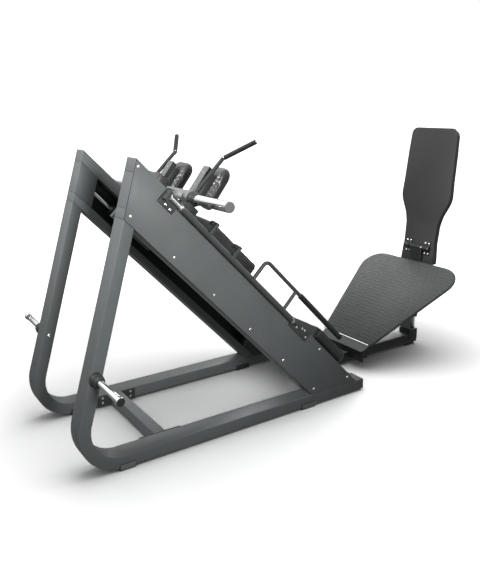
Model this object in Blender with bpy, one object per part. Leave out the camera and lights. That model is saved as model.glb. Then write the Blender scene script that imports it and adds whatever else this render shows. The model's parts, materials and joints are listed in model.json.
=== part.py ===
"""Incline leg press and hack squat machine, built at its real size in metres.

X runs from the rear uprights toward the foot plate, Y across the machine, Z up, floor at z = 0.
"""

import math

import bmesh
import bpy
from mathutils import Vector

# Driving dimensions (metres). The working frame has x = 0 where the leaning rear face meets the
# underside of the runners, and z = 0 at that underside.
X_CENTRE = 1.40594
FOOT = 0.010
GAP = 0.0004
LEAN = math.radians(14.51)
HALF = math.sqrt(0.5)

TOP_X = 0.3562
TOP_Z = 1.3765
SUM_TOP = TOP_X + TOP_Z

TUBE_IN = 0.2644
TUBE_OUT = 0.3644
TUBE_DEPTH = 0.057
BEND_RADIUS = 0.200
RUNNER_END = 1.7325

BEAM_DEPTH = 0.2298
RAIL_TOP = 0.053
RAIL_BOTTOM = 0.190
PANEL = 0.004
HEAD_S = 0.154
HEAD_SLOPE = 0.5888
ROD_START = 0.2004
FOOT_S = 1.570
ROD_N = -0.118
ROD_Y = 0.305
ROD_R = 0.0125

HORN_S = 0.373
HORN_N = 0.0764
HORN_END = 0.600
HORN_R = 0.025
COLLAR_R = 0.038
SLEEVE_R = 0.035

PAD_Y = 0.185
PAD_HALF = 0.070
BAR_Y = 0.390
BAR_N = -0.024

PLATE_ANGLE = math.radians(33.0)
PLATE_X = 1.886
PLATE_Z = 0.125
PLATE_LONG = 0.805
PLATE_THICK = 0.008
MAT_THICK = 0.006
BOARD_ANGLE = math.radians(8.6)
BOARD_X = 2.572
BOARD_Z = 0.568
PIN_X = 2.563
PIN_Z = 0.6586

SIDES = (("l", 1.0), ("r", -1.0))

for item in list(bpy.data.objects):
    bpy.data.objects.remove(item)


def floor_point(x, z, y):
    return Vector((x - X_CENTRE, y, z + FOOT))


def incline(s, n, y):
    """s runs down the rails from the top corner, n stands square off them."""
    return floor_point(TOP_X + (s + n) * HALF, TOP_Z + (n - s) * HALF, y)


def on_plate(p, q, y):
    """p runs up the foot plate, q stands off its tread."""
    cos = math.cos(PLATE_ANGLE)
    sin = math.sin(PLATE_ANGLE)
    return floor_point(PLATE_X + p * cos - q * sin, PLATE_Z + p * sin + q * cos, y)


def on_board(h, g, y):
    """h runs up the tall pad, g goes through it away from the sled."""
    cos = math.cos(BOARD_ANGLE)
    sin = math.sin(BOARD_ANGLE)
    return floor_point(BOARD_X + h * sin + g * cos, BOARD_Z + h * cos - g * sin, y)


def loft(rings):
    """A closed skin over rings of points, every ring with the same number of them."""
    shape = bmesh.new()
    rows = [[shape.verts.new(point) for point in ring] for ring in rings]
    count = len(rows[0])
    for low, high in zip(rows, rows[1:]):
        for i in range(count):
            j = (i + 1) % count
            shape.faces.new((low[i], low[j], high[j], high[i]))
    shape.faces.new(rows[0])
    shape.faces.new(rows[-1])
    bmesh.ops.recalc_face_normals(shape, faces=shape.faces)
    return shape


def prism(place, outline, low, high):
    """An outline in the first two coordinates of place, extruded across Y."""
    return loft([[place(a, b, y) for a, b in outline] for y in (low, high)])


def slab(place, outline, low, high):
    """An outline in (first coordinate, Y), extruded along the second coordinate of place."""
    return loft([[place(a, level, y) for a, y in outline] for level in (low, high)])


def box(place, a, b, y):
    corners = ((a[0], b[0]), (a[1], b[0]), (a[1], b[1]), (a[0], b[1]))
    return prism(place, corners, y[0], y[1])


def turned(start, direction, profile, sides=20):
    """A lathe shape: profile holds (distance along direction, radius)."""
    along = direction.normalized()
    first = along.orthogonal().normalized()
    second = along.cross(first)
    rings = []
    for distance, radius in profile:
        ring = []
        for k in range(sides):
            turn = math.tau * k / sides
            arm = first * math.cos(turn) + second * math.sin(turn)
            ring.append(start + along * distance + arm * radius)
        rings.append(ring)
    return loft(rings)


def rod(start, end, radius, sides=16):
    return turned(start, end - start, ((0.0, radius), ((end - start).length, radius)), sides)


def pipe(points, radius, sides=12):
    """A bent tube through the points, mitred at each of them."""
    count = len(points)
    first = (points[1] - points[0]).orthogonal().normalized()
    rings = []
    for k in range(count):
        back = (points[k] - points[max(k - 1, 0)]).normalized() if k else None
        ahead = (points[k + 1] - points[k]).normalized() if k < count - 1 else None
        along = (back or ahead) if (back is None or ahead is None) else (back + ahead).normalized()
        first = (first - along * first.dot(along)).normalized()
        second = along.cross(first)
        stretch = 1.0 if (back is None or ahead is None) else 1.0 / along.dot(back)
        side_way = None if (back is None or ahead is None) else (ahead - back)
        ring = []
        for i in range(sides):
            turn = math.tau * i / sides
            arm = first * math.cos(turn) + second * math.sin(turn)
            if side_way is not None and side_way.length > 1e-6:
                across = side_way.normalized()
                arm = arm + across * (arm.dot(across) * (stretch - 1.0))
            ring.append(points[k] + arm * radius)
        rings.append(ring)
    return loft(rings)


def arc(centre_a, centre_b, radius, start, end, steps):
    points = []
    for k in range(steps + 1):
        turn = math.radians(start + (end - start) * k / steps)
        points.append((centre_a + radius * math.cos(turn), centre_b + radius * math.sin(turn)))
    return points


def rounded(width, height, radius, steps=3):
    """A rounded rectangle's outline, centred on the origin."""
    a = width / 2 - radius
    b = height / 2 - radius
    points = []
    for x, y, start in ((a, b, 0), (-a, b, 90), (-a, -b, 180), (a, -b, 270)):
        points += arc(x, y, radius, start, start + 90, steps)
    return points


def flipped(outline):
    return [(a, -y) for a, y in outline]


LOOKS = {
    "frame_paint": ((0.105, 0.115, 0.120, 1), 0.35, 0.45),
    "dark_paint": ((0.030, 0.033, 0.034, 1), 0.30, 0.50),
    "light_paint": ((0.300, 0.310, 0.310, 1), 0.40, 0.40),
    "chrome": ((0.780, 0.780, 0.790, 1), 1.00, 0.12),
    "rubber": ((0.016, 0.016, 0.017, 1), 0.00, 0.75),
    "vinyl": ((0.022, 0.022, 0.023, 1), 0.00, 0.50),
    "tread": ((0.090, 0.098, 0.096, 1), 0.10, 0.70),
}


def material_for(name, look):
    colour, metallic, roughness = LOOKS[look]
    made = bpy.data.materials.new(name)
    made.use_nodes = True
    made.diffuse_color = colour
    shader = made.node_tree.nodes["Principled BSDF"]
    shader.inputs["Base Color"].default_value = colour
    shader.inputs["Metallic"].default_value = metallic
    shader.inputs["Roughness"].default_value = roughness
    return made


AXES = {}


def axis_empty(name, where):
    empty = bpy.data.objects.new(name, None)
    empty.location = where
    bpy.context.scene.collection.objects.link(empty)
    AXES[name] = empty


def raw(name, shape, parent):
    mesh = bpy.data.meshes.new(name)
    shape.to_mesh(mesh)
    shape.free()
    mesh.shade_smooth()
    mesh.set_sharp_from_angle(angle=math.radians(35.0))
    made = bpy.data.objects.new(name, mesh)
    bpy.context.scene.collection.objects.link(made)
    if parent:
        made.parent = AXES[parent]
        made.location = -AXES[parent].location
    return made


def node(name, look, shapes, parent=None, cuts=()):
    """One body of the machine: the first shape, the others joined to it, the cuts taken out."""
    body = raw(name, shapes[0], parent)
    body.data.materials.append(material_for(name, look))
    steps = [("UNION", shape) for shape in shapes[1:]] + [("DIFFERENCE", shape) for shape in cuts]
    for k, (operation, shape) in enumerate(steps):
        tool = raw(f"{name}_tool{k}", shape, parent)
        tool.hide_render = True
        tool.display_type = "WIRE"
        step = body.modifiers.new(f"step{k}", "BOOLEAN")
        step.operation = operation
        step.solver = "EXACT"
        step.object = tool
    return body


axis_empty("sled_axis", incline(HORN_S, HORN_N, 0.0))
axis_empty("safety_bar_axis_l", incline(0.7, BAR_N, BAR_Y))
axis_empty("safety_bar_axis_r", incline(0.7, BAR_N, -BAR_Y))
axis_empty("back_pad_axis", floor_point(PIN_X, PIN_Z, 0.0))


def rear_face(n, inset=0.0):
    """The point on the leaning rear face, or a line inside it, at height n on the rails."""
    sin = math.sin(LEAN)
    cos = math.cos(LEAN)
    run = (SUM_TOP + n / HALF - inset * (cos - sin)) / (sin + cos)
    return (inset * cos + run * sin, -inset * sin + run * cos)


def runner_top(n):
    """The point where height n on the rails meets the top of the runner."""
    level = TUBE_DEPTH + GAP
    return (SUM_TOP + n / HALF - level, level)


def at_incline(s, n):
    return (TOP_X + (s + n) * HALF, TOP_Z + (n - s) * HALF)


# Fixed frame
bend_x = BEND_RADIUS * (1.0 + math.sin(LEAN)) / math.cos(LEAN)
lean_turn = -180.0 - math.degrees(LEAN)
outer_bend = arc(bend_x, BEND_RADIUS, BEND_RADIUS, -90.0, lean_turn, 8)
inner_bend = arc(bend_x, BEND_RADIUS, BEND_RADIUS - TUBE_DEPTH, lean_turn, -90.0, 8)
under_beam = -BEAM_DEPTH - GAP
side_outline = [(RUNNER_END, 0.0)] + outer_bend
side_outline += [rear_face(under_beam), rear_face(under_beam, TUBE_DEPTH)]
side_outline += inner_bend + [(RUNNER_END, TUBE_DEPTH)]

top_rail = [rear_face(0.0), runner_top(0.0), runner_top(-RAIL_TOP), rear_face(-RAIL_TOP)]
bottom_rail = [rear_face(-RAIL_BOTTOM), runner_top(-RAIL_BOTTOM)]
bottom_rail += [runner_top(-BEAM_DEPTH), rear_face(-BEAM_DEPTH)]
panel_outline = [rear_face(0.0), runner_top(0.0), runner_top(-BEAM_DEPTH), rear_face(-BEAM_DEPTH)]
head_high = -RAIL_TOP - GAP
head_low = -RAIL_BOTTOM + GAP
head_outline = [rear_face(head_high), at_incline(HEAD_S, head_high)]
head_outline += [at_incline(HEAD_S + (head_high - head_low) * HEAD_SLOPE, head_low)]
head_outline += [rear_face(head_low)]
foot_outline = [at_incline(FOOT_S, head_high), runner_top(head_high)]
foot_outline += [runner_top(head_low), at_incline(FOOT_S, head_low)]


boot_in = TUBE_IN - GAP
boot_out = TUBE_OUT + GAP
boot = [(boot_in - 0.0045, 0.020), (boot_in - 0.0045, -FOOT + 0.004), (boot_in - 0.0010, -FOOT)]
boot += [(boot_out + 0.0010, -FOOT), (boot_out + 0.0045, -FOOT + 0.004), (boot_out + 0.0045, 0.020)]
boot += [(boot_out, 0.020), (boot_out, -GAP), (boot_in, -GAP), (boot_in, 0.020)]


def along_y(s, n, start, end, profile, sides=20):
    """A lathe shape whose axis crosses the machine; profile holds (y, radius) pairs."""
    return turned(incline(s, n, 0.0), Vector((0.0, end - start, 0.0)), profile, sides)


for side, sign in SIDES:
    web = (TUBE_OUT - PANEL - GAP) * sign
    node(f"side_frame_{side}", "frame_paint",
         [prism(floor_point, side_outline, TUBE_IN * sign, TUBE_OUT * sign)])
    node(f"rail_top_{side}", "frame_paint", [prism(floor_point, top_rail, TUBE_IN * sign, web)])
    node(f"rail_bottom_{side}", "frame_paint",
         [prism(floor_point, bottom_rail, TUBE_IN * sign, web)])
    node(f"rail_head_{side}", "frame_paint", [prism(floor_point, head_outline, TUBE_IN * sign, web)])
    node(f"rail_foot_{side}", "dark_paint", [prism(floor_point, foot_outline, TUBE_IN * sign, web)])
    heads = []
    for count, start, pitch, n in ((7, 0.030, 0.2933, -0.022), (6, 0.150, 0.2942, -0.200)):
        for k in range(count):
            inner = incline(start + pitch * k, n, (TUBE_OUT - 0.002) * sign)
            outer = incline(start + pitch * k, n, (TUBE_OUT + 0.003) * sign)
            heads.append(rod(inner, outer, 0.006, 9))
    node(f"side_panel_{side}", "frame_paint",
         [prism(floor_point, panel_outline, (TUBE_OUT - PANEL) * sign, TUBE_OUT * sign)] + heads)
    node(f"guide_rod_{side}", "chrome",
         [rod(incline(ROD_START, ROD_N, ROD_Y * sign), incline(FOOT_S - GAP, ROD_N, ROD_Y * sign),
              ROD_R, 20)])
    for where, low, high in (("rear", 0.241, 0.318), ("front", 1.281, 1.372)):
        node(f"foot_{where}_{side}", "rubber",
             [loft([[floor_point(x, z, y * sign) for y, z in boot] for x in (low, high)])])
    base = floor_point(0.141, 0.447, (TUBE_OUT + GAP) * sign)
    node(f"storage_horn_{side}", "chrome",
         [turned(base, Vector((0.0, sign, 0.0)),
                 ((0.0, 0.029), (0.030, 0.029), (0.031, 0.0255), (0.048, 0.0255), (0.049, 0.0145),
                  (0.247, 0.0145), (0.248, 0.018), (0.268, 0.018), (0.270, 0.016)), 20)])
    panel_face = TUBE_OUT + GAP
    for where, low, high, lug, n in (("upper", 0.196, 0.293, 0.196, -0.070),
                                     ("lower", 1.215, 1.370, 1.215, -0.050)):
        plate = box(incline, (low, high), (n, -0.002), (panel_face * sign, (panel_face + 0.010) * sign))
        ear = box(incline, (lug + 0.0006, lug + 0.0195), (n + 0.020, -0.004),
                  ((panel_face + 0.005) * sign, (BAR_Y + 0.018) * sign))
        node(f"latch_bracket_{where}_{side}", "dark_paint", [plate, ear])

node("cross_tube_rear", "frame_paint",
     [box(floor_point, (0.462, 0.518), (0.0, TUBE_DEPTH), (-TUBE_IN + 0.004, TUBE_IN - 0.004))]
     + [box(floor_point, (0.385, 0.600), (0.0006, TUBE_DEPTH - 0.0006),
            ((TUBE_IN - 0.0084) * sign, (TUBE_IN - GAP) * sign)) for _, sign in SIDES])
node("cross_tube_front", "frame_paint",
     [box(floor_point, (1.662, 1.722), (0.0, TUBE_DEPTH), (-TUBE_IN + GAP, TUBE_IN - GAP))])
node("base_beam", "frame_paint",
     [box(floor_point, (1.722 + GAP, 2.556), (0.008, 0.068), (-0.040, 0.040)),
      box(floor_point, (2.478, 2.5545), (0.030, 0.098), (-0.045, 0.045))])
for name, x in (("foot_beam_mid", 2.010), ("foot_beam_end", 2.455)):
    node(name, "rubber",
         [prism(floor_point, [(x, -FOOT), (x + 0.085, -FOOT), (x + 0.082, 0.008 - GAP),
                              (x + 0.003, 0.008 - GAP)], -0.036, 0.036)])

# Leg-press seat between the rails
node("seat_frame", "dark_paint",
     [box(incline, (1.494, 1.5212), (-0.045, 0.085), (-TUBE_IN + GAP, TUBE_IN - GAP)),
      box(incline, (1.518, 1.835), (0.020, 0.040), (-0.225, 0.225)),
      box(incline, (1.518, 1.780), (-0.020, 0.025), (-0.030, 0.030))])


def cushion(place, outline, levels):
    """levels holds (height through the cushion, inset of its outline in metres)."""
    middle_a = sum(a for a, _ in outline) / len(outline)
    middle_y = sum(y for _, y in outline) / len(outline)
    reach_a = max(abs(a - middle_a) for a, _ in outline)
    reach_y = max(abs(y - middle_y) for _, y in outline)
    rings = []
    for level, inset in levels:
        ring = []
        for a, y in outline:
            ring.append(place(middle_a + (a - middle_a) * (1.0 - inset / reach_a), level,
                              middle_y + (y - middle_y) * (1.0 - inset / reach_y)))
        rings.append(ring)
    return loft(rings)


def moved(outline, a, y):
    return [(a + u, y + v) for u, v in outline]


node("seat_pad", "vinyl",
     [cushion(incline, moved(rounded(0.320, 0.490, 0.040, 4), 1.682, 0.0),
              ((0.040 + GAP, 0.006), (0.048, 0.0), (0.088, 0.0), (0.097, 0.005), (0.102, 0.018)))])

# Sled
UPRIGHT_SHEAR = math.tan(math.radians(8.0))


def leaned(s, n, y):
    """The shoulder posts and pads lean back up the rails."""
    return incline(s - (n - 0.09) * UPRIGHT_SHEAR, n, y)


sled_shapes = [along_y(HORN_S, HORN_N, 0.0, 1.0, ((-0.236, SLEEVE_R), (0.236, SLEEVE_R)), 24)]
sled_shapes.append(box(incline, (0.242, 1.000), (0.018, 0.045), (-0.098, 0.098)))
sled_shapes.append(box(incline, (0.350, 0.395), (-0.150, 0.060), (-0.212, 0.212)))
sled_shapes.append(box(incline, (0.560, 0.600), (-0.150, 0.024), (-0.212, 0.212)))
sled_shapes.append(box(incline, (0.940, 0.980), (-0.020, 0.024), (-0.180, 0.180)))
for _, sign in SIDES:
    sled_shapes.append(box(incline, (0.325, 0.620), (-0.160, 0.030),
                           (0.210 * sign, 0.235 * sign)))
for _, sign in SIDES:
    post = [(0.3946, 0.070), (0.4226, 0.070), (0.4226, 0.270), (0.3946, 0.270)]
    sled_shapes.append(prism(leaned, post, (PAD_Y - 0.028) * sign, (PAD_Y + 0.028) * sign))
    sled_shapes.append(box(leaned, (0.4200, 0.4520), (0.130, 0.255),
                           ((PAD_Y - 0.040) * sign, (PAD_Y + 0.040) * sign)))
node("sled_frame", "frame_paint", sled_shapes, "sled_axis")

pad_outline = [(0.4524, -PAD_HALF)] + arc(0.4670, 0.0, PAD_HALF, -90.0, 90.0, 10)
pad_outline += [(0.4524, PAD_HALF)]

for side, sign in SIDES:
    housing = [rod(incline(0.330, ROD_N, ROD_Y * sign), incline(0.610, ROD_N, ROD_Y * sign), 0.028, 20)]
    housing.append(box(incline, (0.350, 0.590), (-0.135, -0.101), (0.2354 * sign, 0.285 * sign)))
    bore = rod(incline(0.300, ROD_N, ROD_Y * sign), incline(0.640, ROD_N, ROD_Y * sign), 0.0131, 20)
    node(f"bearing_housing_{side}", "dark_paint", housing, "sled_axis", [bore])
    base = incline(HORN_S, HORN_N, 0.0)
    across = Vector((0.0, sign, 0.0))
    node(f"load_collar_{side}", "dark_paint",
         [turned(base, across, ((0.2364, COLLAR_R), (0.2836, COLLAR_R)), 24),
          box(incline, (0.356, 0.390), (0.0040, 0.060), (0.246 * sign, 0.2830 * sign)),
          box(incline, (0.350, 0.410), (0.0025, HORN_N - 0.0375), (0.2500 * sign, 0.335 * sign))],
         "sled_axis")
    node(f"load_horn_{side}", "chrome",
         [turned(base, across, ((0.2840, 0.037), (0.300, 0.037), (0.330, 0.027), (0.334, HORN_R),
                                (HORN_END - 0.002, HORN_R), (HORN_END, HORN_R - 0.002)), 24)],
         "sled_axis")
    node(f"shoulder_pad_{side}", "vinyl",
         [cushion(leaned, moved(pad_outline, 0.0, PAD_Y * sign),
                  ((0.1155, 0.0), (0.285, 0.0), (0.308, 0.005), (0.322, 0.016), (0.330, 0.034)))],
         "sled_axis")
    stem = [(0.3810, 0.1152, 0.2470), (0.3810, 0.3270, 0.2470), (0.3825, 0.3365, 0.2435),
            (0.3827, 0.3423, 0.2503)]
    points = [incline(s, n, y * sign) for s, n, y in stem]
    node(f"handle_tube_{side}", "dark_paint", [pipe(points, 0.0105)], "sled_axis")
    grip_from = incline(0.3827, 0.3427, 0.2508 * sign)
    grip_to = incline(0.3875, 0.4625, 0.391 * sign)
    length = (grip_to - grip_from).length
    node(f"handle_grip_{side}", "rubber",
         [turned(grip_from, grip_to - grip_from,
                 ((0.0, 0.0120), (length - 0.004, 0.0120), (length, 0.0095)), 16)], "sled_axis")

back_profile = [(0.500, 0.045 + GAP), (1.004, 0.045 + GAP), (1.004, 0.096), (0.996, 0.105)]
back_profile += [(0.980, 0.109), (0.650, 0.109), (0.610, 0.103), (0.502, 0.064)]
node("sled_back_pad", "vinyl", [prism(incline, back_profile, -0.155, 0.155)], "sled_axis")
node("head_pad", "vinyl",
     [cushion(incline, moved(rounded(0.094, 0.196, 0.030, 4), 0.284, 0.0),
              ((0.045 + GAP, 0.004), (0.052, 0.0), (0.098, 0.0), (0.107, 0.005), (0.112, 0.016)))],
     "sled_axis")

# Safety bars
for side, sign in SIDES:
    y = BAR_Y * sign
    shaft = [rod(incline(0.3050, BAR_N, y), incline(1.192, BAR_N, y), 0.0125, 16)]
    shaft.append(rod(incline(0.2165, BAR_N, y), incline(1.2145, BAR_N, y), 0.008, 16))
    for s in (0.498, 0.675):
        shaft.append(box(incline, (s - 0.009, s + 0.009), (BAR_N, 0.0490),
                         (y - 0.009, y + 0.009)))
        shaft.append(box(incline, (s - 0.022, s + 0.003), (0.028, 0.0470),
                         (y - 0.030 * sign, y)))
    loop = [(0.847, BAR_N), (0.847, 0.066), (0.856, 0.086), (0.875, 0.097), (1.149, 0.097)]
    shaft.append(pipe([incline(s, n, y) for s, n in loop], 0.010, 12))
    shaft.append(rod(incline(1.110, BAR_N, y), incline(1.110, 0.097, y), 0.009, 12))
    node(f"safety_bar_{side}", "dark_paint", shaft, f"safety_bar_axis_{side}")
    node(f"lever_grip_{side}", "rubber",
         [turned(incline(1.1495, 0.097, y), incline(1.0, 0.0, y) - incline(0.0, 0.0, y),
                 ((0.0, 0.015), (0.393, 0.015), (0.397, 0.011)), 16)],
         f"safety_bar_axis_{side}")

# Foot plate
LOW_HALF = 0.208
SIDE_SLOPE = (0.431 - LOW_HALF) / (PLATE_LONG - 0.0577)


def tread_outline(inset):
    """One side of the foot plate from the lower edge of its mat to the middle of its top edge."""
    slope = math.atan(SIDE_SLOPE)
    radius = 0.130 - inset
    centre_p = PLATE_LONG - 0.130
    centre_y = LOW_HALF + SIDE_SLOPE * (centre_p - 0.0577) - 0.130 / math.cos(slope)
    start = 0.0577 + inset
    half = LOW_HALF + SIDE_SLOPE * inset - inset / math.cos(slope)
    return [(start, half)] + arc(centre_p, centre_y, radius, 90.0 + math.degrees(slope), 0.0, 9)


def both_halves(half):
    return half + flipped(reversed(half))


plate_half = [(0.0, 0.178), (0.012, 0.190), (0.0577, 0.196)] + tread_outline(0.0)
node("foot_plate", "light_paint",
     [slab(on_plate, both_halves(plate_half), -MAT_THICK - PLATE_THICK, -MAT_THICK - GAP)])
node("tread_mat", "tread", [slab(on_plate, both_halves(tread_outline(0.004)), -MAT_THICK, 0.0)])

under = -MAT_THICK - PLATE_THICK - GAP
SPINE = 0.050


def spine_bottom(x):
    cos = math.cos(PLATE_ANGLE)
    return PLATE_Z + (x - PLATE_X) * math.tan(PLATE_ANGLE) + (under - SPINE - GAP) / cos


heel_low = 0.068 + GAP
heel = [(1.960, heel_low), (2.080, heel_low), (2.080, spine_bottom(2.080) + 0.01),
        (1.960, spine_bottom(1.960) + 0.01)]
node("plate_spine", "dark_paint",
     [box(on_plate, (0.030, 0.740), (under - SPINE, under), (-0.040, 0.040)),
      box(on_plate, (0.200, 0.240), (under - 0.025, under - 0.0006), (-0.190, 0.190)),
      box(on_plate, (0.560, 0.600), (under - 0.025, under - 0.0006), (-0.280, 0.280)),
      prism(floor_point, heel, -0.034, 0.034),
      prism(floor_point, [(1.915, heel_low), (1.930, heel_low), (1.930, 0.132), (1.915, 0.122)],
            -0.165, 0.165)]
     + [box(floor_point, (1.9155, 1.9295), (0.040, 0.090), (0.0405 * sign, 0.1645 * sign))
        for _, sign in SIDES])
node("prop_rods", "chrome",
     [box(floor_point, (2.518, 2.555), (0.178, 0.184), (-0.038, 0.038)),
      rod(floor_point(2.540, 0.098 + GAP, -0.018), floor_point(2.540, 0.180, -0.018), 0.012, 16),
      rod(floor_point(2.540, 0.098 + GAP, 0.018), floor_point(2.540, 0.180, 0.018), 0.012, 16)])
node("prop_post", "dark_paint",
     [prism(floor_point, [(2.490, 0.184 + GAP), (2.558, 0.184 + GAP), (2.558, 0.420),
                          (2.490, spine_bottom(2.490))], -0.040, 0.040),
      box(floor_point, (2.486, 2.494), (0.098 + GAP, 0.300), (-0.0445, 0.0445))])

# Tall pad on its hinge
node("pad_arm", "dark_paint",
     [box(floor_point, (PIN_X - 0.012, PIN_X + 0.004), (0.575, PIN_Z), (-0.045, 0.045)),
      rod(floor_point(PIN_X, PIN_Z, -0.099), floor_point(PIN_X, PIN_Z, 0.099), 0.009, 16),
      rod(floor_point(PIN_X, PIN_Z, -0.045), floor_point(PIN_X, PIN_Z, 0.045), 0.015, 16)])

board_half = [(-0.022, 0.137), (0.030, 0.134), (0.060, 0.132), (0.120, 0.127), (0.243, 0.132),
              (0.307, 0.148), (0.385, 0.188), (0.415, 0.199), (0.445, 0.203), (0.540, 0.198),
              (0.740, 0.194), (0.851, 0.188)]
board_half += arc(0.851, 0.143, 0.045, 78.0, 0.0, 5)
board_outline = both_halves(board_half)
node("pad_board", "vinyl", [slab(on_board, board_outline, 0.0, 0.012)], "back_pad_axis")
node("pad_cushion", "vinyl",
     [cushion(on_board, board_outline,
              ((0.012 + GAP, 0.003), (0.016, 0.0), (0.040, 0.0), (0.047, 0.006), (0.050, 0.018)))],
     "back_pad_axis")
pin_h = (PIN_Z - BOARD_Z) * math.cos(BOARD_ANGLE) + (PIN_X - BOARD_X) * math.sin(BOARD_ANGLE)
pin_g = (PIN_X - BOARD_X) * math.cos(BOARD_ANGLE) - (PIN_Z - BOARD_Z) * math.sin(BOARD_ANGLE)
for side, sign in SIDES:
    inner = 0.056 * sign
    outer = 0.098 * sign
    strap = [box(on_board, (pin_h - 0.046, pin_h + 0.046), (-0.006, -GAP), (inner, outer))]
    strap.append(box(on_board, (pin_h - 0.008, pin_h + 0.008), (pin_g, -0.003), (inner, outer)))
    strap.append(rod(floor_point(PIN_X, PIN_Z, inner), floor_point(PIN_X, PIN_Z, outer), 0.0155, 16))
    hole = rod(floor_point(PIN_X, PIN_Z, 0.050 * sign), floor_point(PIN_X, PIN_Z, 0.105 * sign),
               0.0096, 16)
    node(f"pad_strap_{side}", "dark_paint", strap, "back_pad_axis", [hole])
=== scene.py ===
"""Looks for the incline leg press and hack squat machine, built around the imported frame."""

import json
import math

import bmesh
import bpy
import numpy as np
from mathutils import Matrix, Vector
from mathutils.bvhtree import BVHTree

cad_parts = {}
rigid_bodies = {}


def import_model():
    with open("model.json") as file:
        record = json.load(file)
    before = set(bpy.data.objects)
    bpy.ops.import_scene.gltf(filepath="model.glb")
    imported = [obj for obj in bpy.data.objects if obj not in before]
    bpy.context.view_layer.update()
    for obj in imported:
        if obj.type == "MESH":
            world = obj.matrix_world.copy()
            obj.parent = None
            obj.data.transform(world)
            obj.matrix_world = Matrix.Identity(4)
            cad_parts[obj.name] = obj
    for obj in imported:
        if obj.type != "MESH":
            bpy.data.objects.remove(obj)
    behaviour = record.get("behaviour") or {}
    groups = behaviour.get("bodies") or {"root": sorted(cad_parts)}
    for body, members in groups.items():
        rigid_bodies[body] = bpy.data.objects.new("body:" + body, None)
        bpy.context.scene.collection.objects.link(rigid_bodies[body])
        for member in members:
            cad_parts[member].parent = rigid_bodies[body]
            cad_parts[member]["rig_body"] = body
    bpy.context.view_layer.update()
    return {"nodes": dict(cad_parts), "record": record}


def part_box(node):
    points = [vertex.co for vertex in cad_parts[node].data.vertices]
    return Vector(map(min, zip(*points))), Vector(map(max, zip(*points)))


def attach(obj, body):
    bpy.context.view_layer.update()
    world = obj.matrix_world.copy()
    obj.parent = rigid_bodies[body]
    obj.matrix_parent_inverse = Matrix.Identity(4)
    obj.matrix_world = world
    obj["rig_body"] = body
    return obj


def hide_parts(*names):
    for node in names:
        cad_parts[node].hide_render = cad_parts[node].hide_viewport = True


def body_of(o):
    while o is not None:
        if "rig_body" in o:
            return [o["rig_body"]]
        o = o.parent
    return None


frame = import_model()
NODES = frame["nodes"]
SIDES = (("l", 1.0), ("r", -1.0))

# ---------------------------------------------------------------- places on the machine (metres)
X_CENTRE = 1.40594
FOOT = 0.010
HALF = math.sqrt(0.5)
LEAN = math.radians(14.51)
TOP_X = 0.3562
TOP_Z = 1.3765
SUM_TOP = TOP_X + TOP_Z
PLATE_ANGLE = math.radians(33.0)
PLATE_X = 1.886
PLATE_Z = 0.125
BOARD_ANGLE = math.radians(8.6)
BOARD_X = 2.572
BOARD_Z = 0.568
PIN_X = 2.563
PIN_Z = 0.6586
TUBE_IN = 0.2644
TUBE_OUT = 0.3644
TUBE_DEPTH = 0.057
BEND_RADIUS = 0.200
RUNNER_END = 1.7325
BEAM_DEPTH = 0.2298
GAP = 0.0004
ROD_START = 0.2004
FOOT_S = 1.570
ROD_N = -0.118
ROD_Y = 0.305
HORN_S = 0.373
HORN_N = 0.0764
HORN_END = 0.600
PAD_Y = 0.185
BAR_Y = 0.390
BAR_N = -0.024
SHEAR = math.tan(math.radians(8.0))
SHARP_ANGLE = 35.0
BEVEL_ANGLE = 30.0
SWELL_PRESSURE = 4.0
SWELL_FRAMES = 20
POST_BACK = 0.3946
POST_FRONT = 0.4226
POST_MIDDLE_N = 0.130
STORAGE_X = 0.141
STORAGE_Z = 0.447


def floor_point(x, z, y):
    """A place given along the machine and above the feet's upper faces."""
    return Vector((x - X_CENTRE, y, z + FOOT))


def incline(s, n, y):
    """A place given down the rails, off the rails and across the machine."""
    return floor_point(TOP_X + (s + n) * HALF, TOP_Z + (n - s) * HALF, y)


def on_plate(p, q, y):
    """A place given up the foot plate and off it."""
    cos = math.cos(PLATE_ANGLE)
    sin = math.sin(PLATE_ANGLE)
    return floor_point(PLATE_X + p * cos - q * sin, PLATE_Z + p * sin + q * cos, y)


def on_board(h, g, y):
    """A place given up the tall back pad and through it."""
    cos = math.cos(BOARD_ANGLE)
    sin = math.sin(BOARD_ANGLE)
    return floor_point(BOARD_X + h * sin + g * cos, BOARD_Z + h * cos - g * sin, y)


def leaned(s, n, y):
    """The shoulder posts and pads lean back up the rails."""
    return incline(s - (n - 0.09) * SHEAR, n, y)


def rear_face(n, inset=0.0):
    """Where height n off the rails meets the leaning rear face, as (x, z)."""
    sin = math.sin(LEAN)
    cos = math.cos(LEAN)
    run = (SUM_TOP + n / HALF - inset * (cos - sin)) / (sin + cos)
    return (inset * cos + run * sin, -inset * sin + run * cos)


def runner_top(n, lift=0.0):
    """Where height n off the rails meets the floor runner's top, as (x, z)."""
    level = TUBE_DEPTH + GAP + lift
    return (SUM_TOP + n / HALF - level, level)


# ---------------------------------------------------------------- materials
def shader_material(name, colour, rough, metallic=0.0):
    made = bpy.data.materials.new(name)
    made.use_nodes = True
    made.diffuse_color = (*colour, 1.0)
    tree = made.node_tree
    shader = tree.nodes["Principled BSDF"]
    shader.inputs["Metallic"].default_value = metallic
    shader.inputs["Roughness"].default_value = rough
    shader.inputs["Base Color"].default_value = (*colour, 1.0)
    coords = tree.nodes.new("ShaderNodeTexCoord")
    return made, tree, shader, coords


def noise(tree, coords, scale, detail=2.0):
    node = tree.nodes.new("ShaderNodeTexNoise")
    node.inputs["Scale"].default_value = scale
    node.inputs["Detail"].default_value = detail
    node.inputs["Roughness"].default_value = 0.5
    tree.links.new(coords.outputs["Object"], node.inputs["Vector"])
    return node


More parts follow.
